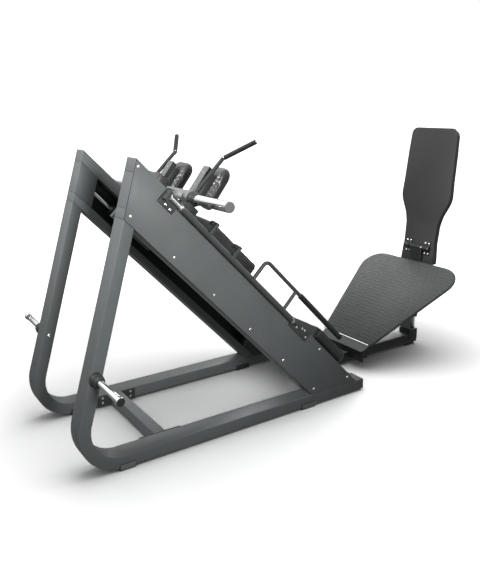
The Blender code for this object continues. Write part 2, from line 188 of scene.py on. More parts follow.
def ramp(tree, source, low, high, start=0.35, stop=0.65):
    node = tree.nodes.new("ShaderNodeValToRGB")
    node.color_ramp.elements[0].position = start
    node.color_ramp.elements[1].position = stop
    node.color_ramp.elements[0].color = low
    node.color_ramp.elements[1].color = high
    tree.links.new(source, node.inputs["Fac"])
    return node


def spread(colour, share):
    return tuple(c * share for c in colour) + (1.0,)


def tint(tree, shader, coords, colour, scale, share):
    """Slight unevenness of the colour."""
    cloud = noise(tree, coords, scale, 4.0)
    shades = ramp(tree, cloud.outputs["Fac"], spread(colour, 1.0 - share), spread(colour, 1.0 + share))
    tree.links.new(shades.outputs["Color"], shader.inputs["Base Color"])


def roughen(tree, shader, coords, scale, low, high):
    cloud = noise(tree, coords, scale, 3.0)
    shades = ramp(tree, cloud.outputs["Fac"], (low, low, low, 1.0), (high, high, high, 1.0))
    tree.links.new(shades.outputs["Color"], shader.inputs["Roughness"])


def bump(tree, shader, height, strength, distance):
    node = tree.nodes.new("ShaderNodeBump")
    node.inputs["Strength"].default_value = strength
    node.inputs["Distance"].default_value = distance
    tree.links.new(height, node.inputs["Height"])
    tree.links.new(node.outputs["Normal"], shader.inputs["Normal"])


def powder_coat(name, colour, rough=0.42):
    made, tree, shader, coords = shader_material(name, colour, rough)
    shader.inputs["Specular IOR Level"].default_value = 0.30
    tint(tree, shader, coords, colour, 9.0, 0.035)
    roughen(tree, shader, coords, 35.0, rough - 0.04, rough + 0.05)
    peel = noise(tree, coords, 1400.0, 2.0)
    bump(tree, shader, peel.outputs["Fac"], 0.10, 0.0004)
    return made


def chrome_plate(name, colour=(0.80, 0.80, 0.81), rough=0.10):
    made, tree, shader, coords = shader_material(name, colour, rough, 1.0)
    tint(tree, shader, coords, colour, 60.0, 0.02)
    roughen(tree, shader, coords, 140.0, rough * 0.7, rough * 1.5)
    return made


def black_rubber(name, colour, rough=0.72, grain=900.0):
    made, tree, shader, coords = shader_material(name, colour, rough)
    shader.inputs["Specular IOR Level"].default_value = 0.30
    tint(tree, shader, coords, colour, 25.0, 0.10)
    roughen(tree, shader, coords, 90.0, rough - 0.08, rough + 0.08)
    dots = noise(tree, coords, grain, 3.0)
    bump(tree, shader, dots.outputs["Fac"], 0.25, 0.0005)
    return made


def leather_vinyl(name, colour, rough=0.46):
    made, tree, shader, coords = shader_material(name, colour, rough)
    shader.inputs["Coat Weight"].default_value = 0.40
    shader.inputs["Coat Roughness"].default_value = 0.24
    tint(tree, shader, coords, colour, 14.0, 0.08)
    roughen(tree, shader, coords, 55.0, rough - 0.05, rough + 0.08)
    cells = tree.nodes.new("ShaderNodeTexVoronoi")
    cells.feature = "DISTANCE_TO_EDGE"
    cells.inputs["Scale"].default_value = 620.0
    tree.links.new(coords.outputs["Object"], cells.inputs["Vector"])
    bump(tree, shader, cells.outputs["Distance"], 0.35, 0.0006)
    return made


def studded_mat(name, colour):
    made, tree, shader, coords = shader_material(name, colour, 0.72)
    roughen(tree, shader, coords, 60.0, 0.58, 0.74)
    studs = tree.nodes.new("ShaderNodeTexVoronoi")
    studs.voronoi_dimensions = "2D"
    studs.inputs["Scale"].default_value = 46.0
    studs.inputs["Randomness"].default_value = 0.40
    tree.links.new(coords.outputs["Object"], studs.inputs["Vector"])
    raised = ramp(tree, studs.outputs["Distance"], (1.0, 1.0, 1.0, 1.0), (0.0, 0.0, 0.0, 1.0), 0.20, 0.48)
    # Painted shading: the stud tops are lighter and the hollows between the studs darker.
    painted_stud_shading = ramp(tree, studs.outputs["Distance"], spread(colour, 1.14), spread(colour, 0.88), 0.20, 0.55)
    tree.links.new(painted_stud_shading.outputs["Color"], shader.inputs["Base Color"])
    bump(tree, shader, raised.outputs["Color"], 0.70, 0.0022)
    return made


SLATE = (0.105, 0.117, 0.116)
DARK = (0.026, 0.029, 0.029)
GREY = (0.200, 0.210, 0.208)
M_FRAME = powder_coat("frame_powder_coat", SLATE)
M_DARK = powder_coat("dark_powder_coat", DARK, 0.46)
M_LIGHT = powder_coat("light_powder_coat", GREY, 0.40)
M_CHROME = chrome_plate("chrome")
M_ZINC = chrome_plate("bright_bolt", (0.86, 0.86, 0.86), 0.24)
M_RUBBER = black_rubber("foot_rubber", (0.017, 0.018, 0.018))
M_GRIP = black_rubber("grip_rubber", (0.011, 0.012, 0.012), 0.60, 700.0)
M_VINYL = leather_vinyl("pad_vinyl", (0.019, 0.019, 0.020))
M_TREAD = studded_mat("tread_mat", (0.088, 0.097, 0.094))
M_PALE_AND_PAINTED_LIGHT = powder_coat("pale_coat_and_painted_light", (0.300, 0.310, 0.305), 0.34)
M_CAP = powder_coat("end_cap_grey", (0.135, 0.140, 0.140), 0.40)
M_MID = powder_coat("bracket_powder_coat", (0.050, 0.054, 0.054), 0.44)
M_SATIN = chrome_plate("satin_sleeve", (0.24, 0.25, 0.25), 0.34)

SLOT_LOOK = {
    "frame_paint": M_FRAME, "dark_paint": M_DARK, "light_paint": M_LIGHT, "chrome": M_CHROME,
    "rubber": M_RUBBER, "vinyl": M_VINYL, "tread": M_TREAD,
}
SLOT_OF = {row["node"]: row["material_slot"] for row in frame["record"]["subparts"]}
BODY_OF = {}
for body_name, members in frame["record"]["behaviour"]["bodies"].items():
    for member in members:
        BODY_OF[member] = body_name


# ---------------------------------------------------------------- mesh tools
def add(name, mesh, body, look, replaced=()):
    made = bpy.data.objects.new(name, mesh)
    bpy.context.scene.collection.objects.link(made)
    made.data.materials.clear()
    made.data.materials.append(look)
    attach(made, body)
    if replaced:
        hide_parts(*replaced)
    return made


def to_mesh(name, shape):
    mesh = bpy.data.meshes.new(name)
    shape.to_mesh(mesh)
    shape.free()
    mesh.shade_smooth()
    mesh.set_sharp_from_angle(angle=math.radians(SHARP_ANGLE))
    return mesh


def bevelled(mesh, width, segments):
    """The mesh with every sharp edge rounded."""
    holder = bpy.data.objects.new("holder", mesh)
    bpy.context.scene.collection.objects.link(holder)
    step = holder.modifiers.new("round", "BEVEL")
    step.width = width
    step.segments = segments
    step.limit_method = "ANGLE"
    step.angle_limit = math.radians(BEVEL_ANGLE)
    step.use_clamp_overlap = True
    made = bpy.data.meshes.new_from_object(holder.evaluated_get(bpy.context.evaluated_depsgraph_get()))
    bpy.data.objects.remove(holder)
    made.shade_smooth()
    made.set_sharp_from_angle(angle=math.radians(SHARP_ANGLE))
    return made


def refine(node, width, segments=3, look=None):
    """A CAD node's own shape with rounded edges, standing for the node."""
    shape = bmesh.new()
    shape.from_mesh(NODES[node].data)
    bmesh.ops.remove_doubles(shape, verts=shape.verts, dist=1e-5)
    bmesh.ops.dissolve_limit(shape, angle_limit=math.radians(0.6), verts=shape.verts, edges=shape.edges)
    mesh = bevelled(to_mesh(node + "_fine", shape), width, segments)
    slot = SLOT_OF[node]
    return add(node + "_fine", mesh, BODY_OF[node], look or SLOT_LOOK[slot], (node,))


def skin(rings, closed=False):
    """A skin over rings of points, capped at its ends or joined end to start."""
    shape = bmesh.new()
    rows = [[shape.verts.new(point) for point in ring] for ring in rings]
    count = len(rows[0])
    pairs = list(zip(rows, rows[1:])) + ([(rows[-1], rows[0])] if closed else [])
    for low, high in pairs:
        for i in range(count):
            j = (i + 1) % count
            shape.faces.new((low[i], low[j], high[j], high[i]))
    if not closed:
        shape.faces.new(rows[0])
        shape.faces.new(rows[-1])
    bmesh.ops.recalc_face_normals(shape, faces=shape.faces)
    return shape


def prism(place, outline, low, high):
    return skin([[place(a, b, y) for a, b in outline] for y in (low, high)])


def turned(start, direction, profile, sides=48):
    """A lathe shape: profile holds (distance along direction, radius)."""
    along = direction.normalized()
    first = along.orthogonal().normalized()
    second = along.cross(first)
    rings = []
    for distance, radius in profile:
        turns = [math.tau * k / sides for k in range(sides)]
        rings.append([start + along * distance + (first * math.cos(t) + second * math.sin(t)) * radius
                      for t in turns])
    return skin(rings)


def swept(points, radius, sides=20, closed=False):
    """A round section carried along the points."""
    count = len(points)
    rings = []
    first = None
    for k in range(count):
        back = points[k - 1] if (k or closed) else points[k]
        ahead = points[(k + 1) % count] if (k < count - 1 or closed) else points[k]
        along = (ahead - back).normalized()
        first = first or along.orthogonal()
        first = (first - along * first.dot(along)).normalized()
        second = along.cross(first)
        rings.append([points[k] + (first * math.cos(math.tau * i / sides)
                                   + second * math.sin(math.tau * i / sides)) * radius
                      for i in range(sides)])
    return skin(rings, closed)


def rounded_path(points, radius, steps=10):
    """The corners of a path turned into smooth bends."""
    made = [points[0]]
    for before, corner, after in zip(points, points[1:], points[2:]):
        back = (before - corner)
        ahead = (after - corner)
        reach = min(radius, back.length * 0.49, ahead.length * 0.49)
        start = corner + back.normalized() * reach
        end = corner + ahead.normalized() * reach
        for k in range(steps + 1):
            t = k / steps
            made.append(start * (1 - t) ** 2 + corner * 2 * t * (1 - t) + end * t ** 2)
    made.append(points[-1])
    return made


def merged(shapes):
    """Several shapes as one."""
    whole = shapes[0]
    for shape in shapes[1:]:
        part = bpy.data.meshes.new("part")
        shape.to_mesh(part)
        shape.free()
        whole.from_mesh(part)
        bpy.data.meshes.remove(part)
    return whole


def bolt(where, direction, radius, height):
    return turned(where - direction.normalized() * 0.001, direction,
                  ((0.0, radius), (height * 0.45, radius), (height * 0.8, radius * 0.86),
                   (height, radius * 0.52), (height * 0.93, radius * 0.40)), 16)


def repaint(piece, look, chosen):
    """The faces whose centre is chosen take another look."""
    piece.data.materials.append(look)
    spot = len(piece.data.materials) - 1
    for face in piece.data.polygons:
        if chosen(face.center):
            face.material_index = spot


def make(name, shapes, body, look, replaced=(), bevel=0.0, segments=2):
    mesh = to_mesh(name, merged(shapes))
    if bevel:
        mesh = bevelled(mesh, bevel, segments)
    return add(name, mesh, body, look, replaced)


def off_axis(s, n):
    """Distance of a point from the line across the machine through (s, n) on the rails."""
    line = incline(s, n, 0.0)
    return lambda point: math.hypot(point.x - line.x, point.z - line.z)


# ---------------------------------------------------------------- frame
across = Vector((0.0, 1.0, 0.0))
down_rail = incline(1.0, 0.0, 0.0) - incline(0.0, 0.0, 0.0)
off_rail = incline(0.0, 1.0, 0.0) - incline(0.0, 0.0, 0.0)


def arc(centre_a, centre_b, radius, start, end, steps):
    turns = [math.radians(start + (end - start) * k / steps) for k in range(steps + 1)]
    return [(centre_a + radius * math.cos(t), centre_b + radius * math.sin(t)) for t in turns]


bend_x = BEND_RADIUS * (1.0 + math.sin(LEAN)) / math.cos(LEAN)
lean_turn = -180.0 - math.degrees(LEAN)
side_outline = [(RUNNER_END, 0.0)] + arc(bend_x, BEND_RADIUS, BEND_RADIUS, -90.0, lean_turn, 30)
side_outline += [rear_face(-BEAM_DEPTH - GAP), rear_face(-BEAM_DEPTH - GAP, TUBE_DEPTH)]
side_outline += arc(bend_x, BEND_RADIUS, BEND_RADIUS - TUBE_DEPTH, lean_turn, -90.0, 30)
side_outline += [(RUNNER_END, TUBE_DEPTH)]
inset = 0.0028
panel_outline = [rear_face(-0.0012, inset), runner_top(-0.0012, 0.001)]
panel_outline += [runner_top(-BEAM_DEPTH + 0.0012, 0.001), rear_face(-BEAM_DEPTH + 0.0012, inset)]
backing_outline = [rear_face(-0.0006, 0.0006), runner_top(-0.0006, 0.0004)]
backing_outline += [runner_top(-BEAM_DEPTH + 0.0006, 0.0004), rear_face(-BEAM_DEPTH + 0.0006, 0.0006)]
PANEL_ROWS = ((7, 0.030, 0.2933, -0.022), (6, 0.150, 0.2942, -0.200))

for side, sign in SIDES:
    outward = across * sign
    make(f"side_tube_{side}", [prism(floor_point, side_outline, TUBE_IN * sign, TUBE_OUT * sign)],
         "frame", M_FRAME, (f"side_frame_{side}",), 0.0035, 4)
    make(f"side_cover_{side}", [prism(floor_point, panel_outline, 0.3609 * sign, TUBE_OUT * sign)],
         "frame", M_FRAME, (f"side_panel_{side}",), 0.0008, 2)
    make(f"side_gasket_{side}", [prism(floor_point, backing_outline, 0.3603 * sign, 0.3608 * sign)],
         "frame", M_DARK)
    heads = [bolt(incline(start + pitch * k, n, TUBE_OUT * sign), outward, 0.0068, 0.0032)
             for count, start, pitch, n in PANEL_ROWS for k in range(count)]
    make(f"side_bolts_{side}", heads, "frame", M_ZINC)
    for name in ("rail_top", "rail_bottom", "rail_head", "rail_foot"):
        refine(f"{name}_{side}", 0.0020, 3)
    for name in ("foot_rear", "foot_front"):
        boot = refine(f"{name}_{side}", 0.0025, 3)
        edge = max(abs(vertex.co.y) for vertex in boot.data.vertices)
        repaint(boot, M_CAP, lambda point: abs(point.y) > edge - 0.0004)
    length = (FOOT_S - ROD_START) - 2 * GAP
    make(f"guide_shaft_{side}",
         [turned(incline(ROD_START, ROD_N, ROD_Y * sign), down_rail,
                 ((0.0, 0.0115), (0.001, 0.0125), (length - 0.001, 0.0125), (length, 0.0115)))],
         "frame", M_CHROME, (f"guide_rod_{side}",))
    base = floor_point(STORAGE_X, STORAGE_Z, (TUBE_OUT + GAP) * sign)
    make(f"storage_flange_{side}",
         [turned(base, outward, ((0.0, 0.0285), (0.002, 0.029), (0.027, 0.029), (0.030, 0.027),
                                 (0.0305, 0.0255), (0.046, 0.0255), (0.0485, 0.022), (0.049, 0.0147)))],
         "frame", M_DARK, (f"storage_horn_{side}",))
    make(f"storage_shaft_{side}",
         [turned(base + outward * 0.0492, outward, ((0.0, 0.0145), (0.1975, 0.0145), (0.1985, 0.0140)))],
         "frame", M_CHROME)
    tip = make(f"storage_cap_{side}",
               [turned(base + outward * 0.2478, outward,
                       ((0.0, 0.0165), (0.0015, 0.018), (0.018, 0.018), (0.0205, 0.0170), (0.0222, 0.0150)))],
               "frame", M_CHROME)
    end_at = abs((base + outward * 0.2478).y) + 0.0185
    repaint(tip, M_GRIP, lambda point: abs(point.y) > end_at)
    for where in ("upper", "lower"):
        # The latch brackets take a grey darker than the frame paint: partly their own dark colour, partly
        # painted shade.
        refine(f"latch_bracket_{where}_{side}", 0.0016, 2, M_MID)
    face = TUBE_OUT + GAP + 0.010
    spots = ((0.236, -0.058), (0.268, -0.061), (1.262, -0.030), (1.300, -0.014), (1.322, -0.012),
             (1.352, -0.034))
    make(f"latch_bolts_{side}", [bolt(incline(s, n, face * sign), outward, 0.0062, 0.0045)
                                 for s, n in spots], "frame", M_ZINC)
    inner = TUBE_IN * sign
    spots = [floor_point(STORAGE_X, STORAGE_Z, inner)]
    make(f"inner_bolts_{side}", [bolt(where, -outward, 0.0085, 0.005) for where in spots],
         "frame", M_ZINC)
    flange = (TUBE_IN - 0.0084) * sign
    spots = [floor_point(x, z, flange) for x in (0.412, 0.573) for z in (0.016, 0.042)]
    make(f"flange_bolts_{side}", [bolt(where, -outward, 0.0065, 0.005) for where in spots],
         "frame", M_PALE_AND_PAINTED_LIGHT)

rear_tube = refine("cross_tube_rear", 0.0025, 3)
repaint(rear_tube, M_DARK, lambda point: abs(point.y) > TUBE_IN - 0.0092)
refine("cross_tube_front", 0.0030, 3)
# The base beam takes the dark paint with its top face painted pale grey: painted shade on its sides and
# painted light on its top, which the foot plate shades.
beam = refine("base_beam", 0.0030, 3, M_DARK)
repaint(beam, M_PALE_AND_PAINTED_LIGHT, lambda point: abs(point.z - FOOT - 0.068) < 0.0006)
for name in ("foot_beam_mid", "foot_beam_end"):
    refine(name, 0.0020, 2)
refine("seat_frame", 0.0020, 2)

# ---------------------------------------------------------------- foot plate and prop
plate = refine("foot_plate", 0.0025, 3, M_DARK)
step_down = on_plate(0.0577, -0.0064, 0.0)
face_up = Vector((-math.sin(PLATE_ANGLE), 0.0, math.cos(PLATE_ANGLE)))
repaint(plate, M_LIGHT, lambda point: (point - step_down).dot(face_up) > -0.0015
        and abs(point.y) < 0.1955 - 0.10 * max(0.0, 1.888 - point.x - X_CENTRE))
refine("tread_mat", 0.0018, 2)
make("tread_lip", [skin([[on_plate(p, q, y) for p, q in ((0.0545, -0.0055), (0.0600, -0.0055),
                                                          (0.0612, 0.0006), (0.0572, 0.0012))]
                         for y in (-0.196, 0.196)])], "frame", M_ZINC)
refine("plate_spine", 0.0025, 2)
# The prop post's faces toward the uprights are painted pale grey: painted light on faces that the foot plate
# shades.
post = refine("prop_post", 0.0020, 2)
repaint(post, M_PALE_AND_PAINTED_LIGHT, lambda point: point.x + X_CENTRE < 2.4866)
refine("prop_rods", 0.0006, 2)

# ---------------------------------------------------------------- sled
sled_body = refine("sled_frame", 0.0018, 2)
from_sleeve = off_axis(HORN_S, HORN_N)
repaint(sled_body, M_SATIN, lambda point: from_sleeve(point) < 0.0356 and point.z > 0.0)
bracket_low = leaned(POST_FRONT, POST_MIDDLE_N, 0.0)
lean_dir = (leaned(0.0, 1.0, 0.0) - leaned(0.0, 0.0, 0.0)).normalized()
front_of_post = Vector((-lean_dir.z, 0.0, lean_dir.x))
front_of_post = front_of_post if front_of_post.dot(down_rail) > 0.0 else -front_of_post
post_foot = leaned(POST_BACK, POST_MIDDLE_N, 0.0)
repaint(sled_body, M_DARK, lambda point: (point - bracket_low).dot(lean_dir) > -0.008
        and (abs(point.y) > 0.12 or (point - bracket_low).dot(front_of_post) > 0.0012))
# The shoulder posts' rear faces are painted a lighter grey than their dark sides: painted light on the rear
# faces.
repaint(sled_body, M_CAP, lambda point: (point - post_foot).dot(lean_dir) > -0.01
        and (point - post_foot).dot(front_of_post) < 0.0006 and abs(point.y) > 0.12)
for side, sign in SIDES:
    outward = across * sign
    refine(f"bearing_housing_{side}", 0.0010, 2)
    collar = refine(f"load_collar_{side}", 0.0020, 3)
    repaint(collar, M_SATIN, lambda point: 0.0360 < from_sleeve(point) < 0.0385
            and abs(point.y) < 0.2825)
    base = incline(HORN_S, HORN_N, 0.0)
    make(f"load_ring_{side}",
         [turned(base, outward, ((0.2840, 0.0355), (0.2855, 0.037), (0.297, 0.037), (0.300, 0.0360),
                                 (0.326, 0.0290), (0.330, 0.0272)), 64)],
         "sled", M_DARK, (f"load_horn_{side}",))
    make(f"load_shaft_{side}",
         [turned(base, outward, ((0.3302, 0.0250), (HORN_END - 0.0062, 0.0250)), 64)],
         "sled", M_CHROME)
    make(f"load_cap_{side}",
         [turned(base, outward, ((HORN_END - 0.0060, 0.0248), (HORN_END - 0.0012, 0.0248),
                                 (HORN_END - 0.0002, 0.0238), (HORN_END, 0.0225)), 64)],
         "sled", M_CAP)
    stem = [incline(s, n, y * sign) for s, n, y in
            ((0.3810, 0.1152, 0.2470), (0.3810, 0.3270, 0.2470), (0.3825, 0.3365, 0.2435),
             (0.3827, 0.3423, 0.2503))]
    make(f"handle_stem_{side}", [swept(rounded_path(stem, 0.012, 6), 0.0100)], "sled", M_DARK,
         (f"handle_tube_{side}",))
    grip_from = incline(0.3827, 0.3427, 0.2508 * sign)
    grip_to = incline(0.3875, 0.4625, 0.391 * sign)
    length = (grip_to - grip_from).length
    ribs = [(0.0, 0.0105), (0.001, 0.0120), (0.004, 0.0120)]
    for k in range(21):
        start = 0.006 + k * (length - 0.014) / 21
        ribs += [(start, 0.0112), (start + 0.0012, 0.0119), (start + 0.0055, 0.0119)]
    ribs += [(length - 0.004, 0.0120), (length - 0.001, 0.0108), (length, 0.0080)]
    cover = make(f"handle_cover_{side}", [turned(grip_from, grip_to - grip_from, ribs, 32)], "sled",
                 M_GRIP, (f"handle_grip_{side}",))
    repaint(cover, M_ZINC, lambda point: (point - grip_to).length < 0.0082)
    make(f"handle_ring_{side}",
         [turned(grip_from - (grip_to - grip_from).normalized() * 0.0026, grip_to - grip_from,
                 ((0.0, 0.0104), (0.0006, 0.0114), (0.0020, 0.0114), (0.0025, 0.0104)), 32)],
         "sled", M_ZINC)
    spots = [leaned(POST_BACK, n, PAD_Y * sign) for n in (0.235, 0.165)]
    make(f"post_bolts_{side}", [bolt(where, -down_rail, 0.0055, 0.0030) for where in spots],
         "sled", M_PALE_AND_PAINTED_LIGHT)

# ---------------------------------------------------------------- safety bars
for side, sign in SIDES:
    y = BAR_Y * sign
    body = f"safety_bar_{side}"
    start = incline(0.0, BAR_N, y)
    steel = [turned(start, down_rail, ((0.3050, 0.0115), (0.3060, 0.0125), (1.1910, 0.0125),
                                       (1.1920, 0.0115)), 40)]
    loop = [incline(s, n, y) for s, n in ((0.847, BAR_N), (0.847, 0.097), (1.149, 0.097))]
    steel.append(swept(rounded_path(loop, 0.034, 14), 0.0100, 28))
    steel.append(turned(incline(1.110, BAR_N, y), off_rail,
                        ((0.0, 0.009), (0.0128, 0.009), (0.121, 0.009)), 28))
    make(f"safety_tube_{side}", steel, body, M_MID, (f"safety_bar_{side}",))
    rods = [turned(start, down_rail, ((0.2165, 0.0070), (0.2175, 0.0080), (1.2135, 0.0080),
                                      (1.2145, 0.0070)), 28)]
    rods += [turned(start, down_rail, ((low, 0.0085), (low + 0.001, high), (low + 0.008, high),
                                       (low + 0.009, 0.0085)), 28)
             for low, high in ((0.2185, 0.0135), (0.2950, 0.0140), (1.1930, 0.0135))]
    make(f"safety_pivots_{side}", rods, body, M_ZINC)
    hooks = []
    for s in (0.498, 0.675):
        corners = ((s - 0.009, BAR_N), (s + 0.009, BAR_N), (s + 0.009, 0.049), (s - 0.009, 0.049))
        hooks.append(skin([[incline(a, b, w) for a, b in corners] for w in (y - 0.009, y + 0.009)]))
    make(f"safety_uprights_{side}", hooks, body, M_MID, (), 0.0015, 2)
    hooks = []
    for s in (0.498, 0.675):
        corners = ((s - 0.022, 0.028), (s - 0.0095, 0.028), (s - 0.0095, 0.047), (s - 0.022, 0.047))
        hooks.append(skin([[incline(a, b, w) for a, b in corners]
                           for w in (y - 0.030 * sign, y - 0.001 * sign)]))
    make(f"safety_hooks_{side}", hooks, body, M_DARK, (), 0.0020, 2)
    ribs = [(0.0, 0.0125), (0.0015, 0.0150), (0.010, 0.0150)]
    for k in range(60):
        at = 0.012 + k * 0.372 / 60
        ribs += [(at, 0.0143), (at + 0.0012, 0.0149), (at + 0.0046, 0.0149)]
    ribs += [(0.393, 0.0148), (0.3965, 0.0125), (0.397, 0.0080)]
    make(f"lever_cover_{side}", [turned(incline(1.1495, 0.097, y), down_rail, ribs, 32)], body,
         M_GRIP, (f"lever_grip_{side}",))

# ---------------------------------------------------------------- tall pad hardware
arm = refine("pad_arm", 0.0012, 2)
pin = floor_point(PIN_X, PIN_Z, 0.0)
repaint(arm, M_ZINC, lambda point: math.hypot(point.x - pin.x, point.z - pin.z) < 0.0098)
through = on_board(0.0, -1.0, 0.0) - on_board(0.0, 0.0, 0.0)
pin_h = (PIN_Z - BOARD_Z) * math.cos(BOARD_ANGLE) + (PIN_X - BOARD_X) * math.sin(BOARD_ANGLE)
for side, sign in SIDES:
    refine(f"pad_strap_{side}", 0.0012, 2)
    spots = [on_board(pin_h + rise, -0.006, y * sign) for rise in (0.034, -0.034)
             for y in (0.063, 0.091)]
    make(f"strap_bolts_{side}", [bolt(where, through, 0.0062, 0.0045) for where in spots], "back_pad",
         M_ZINC)
refine("pad_board", 0.0035, 3)


# ---------------------------------------------------------------- padded pieces
def swollen(mesh, cap):
    """Where each point of a closed mesh goes when cloth over it is blown up, within the cap."""
    before = np.array([vertex.co[:] for vertex in mesh.vertices])
    scene = bpy.context.scene
    holder = bpy.data.objects.new("swelling", mesh)
    scene.collection.objects.link(holder)
    cloth = holder.modifiers.new("cloth", "CLOTH")
    settings = cloth.settings
    settings.use_pressure = True
    settings.uniform_pressure_force = SWELL_PRESSURE
    settings.quality = 4
    settings.tension_stiffness = 22.0
    settings.compression_stiffness = 22.0
    settings.shear_stiffness = 8.0
    settings.bending_stiffness = 0.8
    settings.effector_weights.gravity = 0.0
    cloth.point_cache.frame_start = 1
    cloth.point_cache.frame_end = SWELL_FRAMES
    for frame_number in range(1, SWELL_FRAMES + 1):
        scene.frame_set(frame_number)
    done = holder.evaluated_get(bpy.context.evaluated_depsgraph_get()).to_mesh()
    after = np.array([vertex.co[:] for vertex in done.vertices])
    holder.evaluated_get(bpy.context.evaluated_depsgraph_get()).to_mesh_clear()
    bpy.data.objects.remove(holder)
    scene.frame_set(1)
    move = after - before
    reach = np.linalg.norm(move, axis=1, keepdims=True)
    limit = cap * np.tanh(reach / cap) / np.maximum(reach, 1e-9)
    return before + move * limit


def padding(name, node, up, shrink, cap, voxel=0.006):
    """A cushion in its CAD solid's space: remeshed, swollen as cloth and kept off its seat."""
    holder = bpy.data.objects.new("blank", NODES[node].data.copy())
    bpy.context.scene.collection.objects.link(holder)
    grid = holder.modifiers.new("grid", "REMESH")
    grid.mode = "VOXEL"
    grid.voxel_size = voxel
    soften = holder.modifiers.new("soften", "SMOOTH")
    soften.factor = 0.6
    soften.iterations = 6
    shape = bpy.data.meshes.new_from_object(
        holder.evaluated_get(bpy.context.evaluated_depsgraph_get()))
    bpy.data.objects.remove(holder)
    low, high = (np.array(corner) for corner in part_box(node))
    points = np.array([vertex.co[:] for vertex in shape.vertices])
    middle = (points.min(axis=0) + points.max(axis=0)) / 2
    spread_of = np.maximum(points.max(axis=0) - points.min(axis=0), 1e-6)
    points = middle + (points - middle) * (1.0 - 2.0 * shrink / spread_of)
    shape.vertices.foreach_set("co", points.ravel())
    shape.update()
    points = swollen(shape, cap)
    up = np.array(up.normalized())
    seat = np.array([vertex.co[:] for vertex in NODES[node].data.vertices]) @ up
    depth = points @ up
    points += np.outer(np.maximum(seat.min() + 0.0002 - depth, 0.0), up)
    points -= np.outer(np.maximum(depth - seat.max() - 0.001, 0.0), up)
    points = np.clip(points, low - 0.0005, high + 0.0005)
    shape.vertices.foreach_set("co", points.ravel())
    shape.update()
    holder = bpy.data.objects.new("blank", shape)
    bpy.context.scene.collection.objects.link(holder)
    finer = holder.modifiers.new("finer", "SUBSURF")
    finer.levels = 1
    mesh = bpy.data.meshes.new_from_object(
        holder.evaluated_get(bpy.context.evaluated_depsgraph_get()))
    bpy.data.objects.remove(holder)
    mesh.shade_smooth()
    made = add(name, mesh, BODY_OF[node], M_VINYL, (node,))
    return made


def welt(name, piece, points, radius, closed=True):
    """A seam cord laid on the surface of a finished cushion."""
    mesh = piece.data
    tree = BVHTree.FromPolygons([vertex.co[:] for vertex in mesh.vertices],
                                [tuple(face.vertices) for face in mesh.polygons])
    laid = []
    for point in points:
        near, normal, _, _ = tree.find_nearest(point)
        laid.append(near + normal * (radius * 0.30))
    return add(name, to_mesh(name, swept(laid, radius, 10, closed)), body_of(piece)[0],
               M_VINYL)


def ring_points(place, outline, level, count=110):
    """Evenly spaced points round an outline at one level."""
    closed = outline + [outline[0]]
    lengths = [math.dist(a, b) for a, b in zip(closed, closed[1:])]
    whole = sum(lengths)
    points = []
    for k in range(count):
        left = whole * k / count
        for (a, b), length in zip(zip(closed, closed[1:]), lengths):
            if left <= length:
                t = left / length if length else 0.0
                points.append(place(a[0] + (b[0] - a[0]) * t, level, a[1] + (b[1] - a[1]) * t))
                break
            left -= length
    return points


def rounded(width, height, radius, steps=5):
    a = width / 2 - radius
    b = height / 2 - radius
    points = []
    for x, y, start in ((a, b, 0), (-a, b, 90), (-a, -b, 180), (a, -b, 270)):
        points += arc(x, y, radius, start, start + 90, steps)
    return points


seat = padding("seat_cushion", "seat_pad", off_rail, 0.0030, 0.0060)
welt("seat_welt", seat, ring_points(incline, [(a + 1.682, y) for a, y in rounded(0.306, 0.476, 0.040)],
                                    0.100), 0.0022)
back = padding("sled_cushion", "sled_back_pad", off_rail, 0.0030, 0.0060)
welt("sled_welt", back, ring_points(incline, [(0.640, -0.148), (0.990, -0.148), (0.990, 0.148),
                                              (0.640, 0.148)], 0.112), 0.0022)
rest = padding("head_cushion", "head_pad", off_rail, 0.0025, 0.0050, 0.005)
welt("head_welt", rest, ring_points(incline, [(a + 0.284, y) for a, y in rounded(0.084, 0.186, 0.028)],
                                    0.110, 70), 0.0018)
for side, sign in SIDES:
    pad = padding(f"shoulder_cushion_{side}", f"shoulder_pad_{side}", off_rail, 0.0025, 0.0050, 0.005)
    rim = []
    for k in range(61):
        turn = math.pi * k / 60
        rim.append(leaned(0.4670, 0.250 + 0.080 * math.sin(turn), (PAD_Y + 0.074 * math.cos(turn)) * sign))
    rim = [leaned(0.4670, 0.13 + 0.12 * k / 12, (PAD_Y + 0.074) * sign) for k in range(12)] + rim
    rim += [leaned(0.4670, 0.25 - 0.12 * k / 12, (PAD_Y - 0.074) * sign) for k in range(1, 13)]
    welt(f"shoulder_welt_{side}", pad, rim, 0.0018, False)

half = [(-0.022, 0.137), (0.030, 0.134), (0.060, 0.132), (0.120, 0.127), (0.243, 0.132),
        (0.307, 0.148), (0.385, 0.188), (0.415, 0.199), (0.445, 0.203), (0.540, 0.198),
        (0.740, 0.194), (0.851, 0.188)] + arc(0.851, 0.143, 0.045, 78.0, 0.0, 8)
board_outline = half + [(a, -y) for a, y in reversed(half)]
tall = padding("tall_cushion", "pad_cushion", -through, 0.0030, 0.0060)
welt("tall_welt_rear", tall, ring_points(on_board, [(a * 0.985 + 0.007, y * 0.965) for a, y in board_outline],
                                         0.049, 150), 0.0022)
welt("tall_welt_front", tall, ring_points(on_board, board_outline, 0.0150, 150), 0.0020)


# ---------------------------------------------------------------- floor, light, camera
FLOOR_WHITE = 5.1
FLOOR_SHADOW = 0.80
SHADOW_REACH = 0.90
SHADOW_POWER = 1.15
FADE_FROM = 1.3
FADE_TO = 3.0
BACKDROP_LEVEL = 1.1
CAMERA_LENS = 40.486
CAMERA_SENSOR = 36.0
CAMERA_SHIFT = -0.1534
CAMERA_PLACE = (-0.798 - X_CENTRE, -2.8558, 1.5885 + FOOT)
CAMERA_TURN = (82.0, 0.0, -34.0)


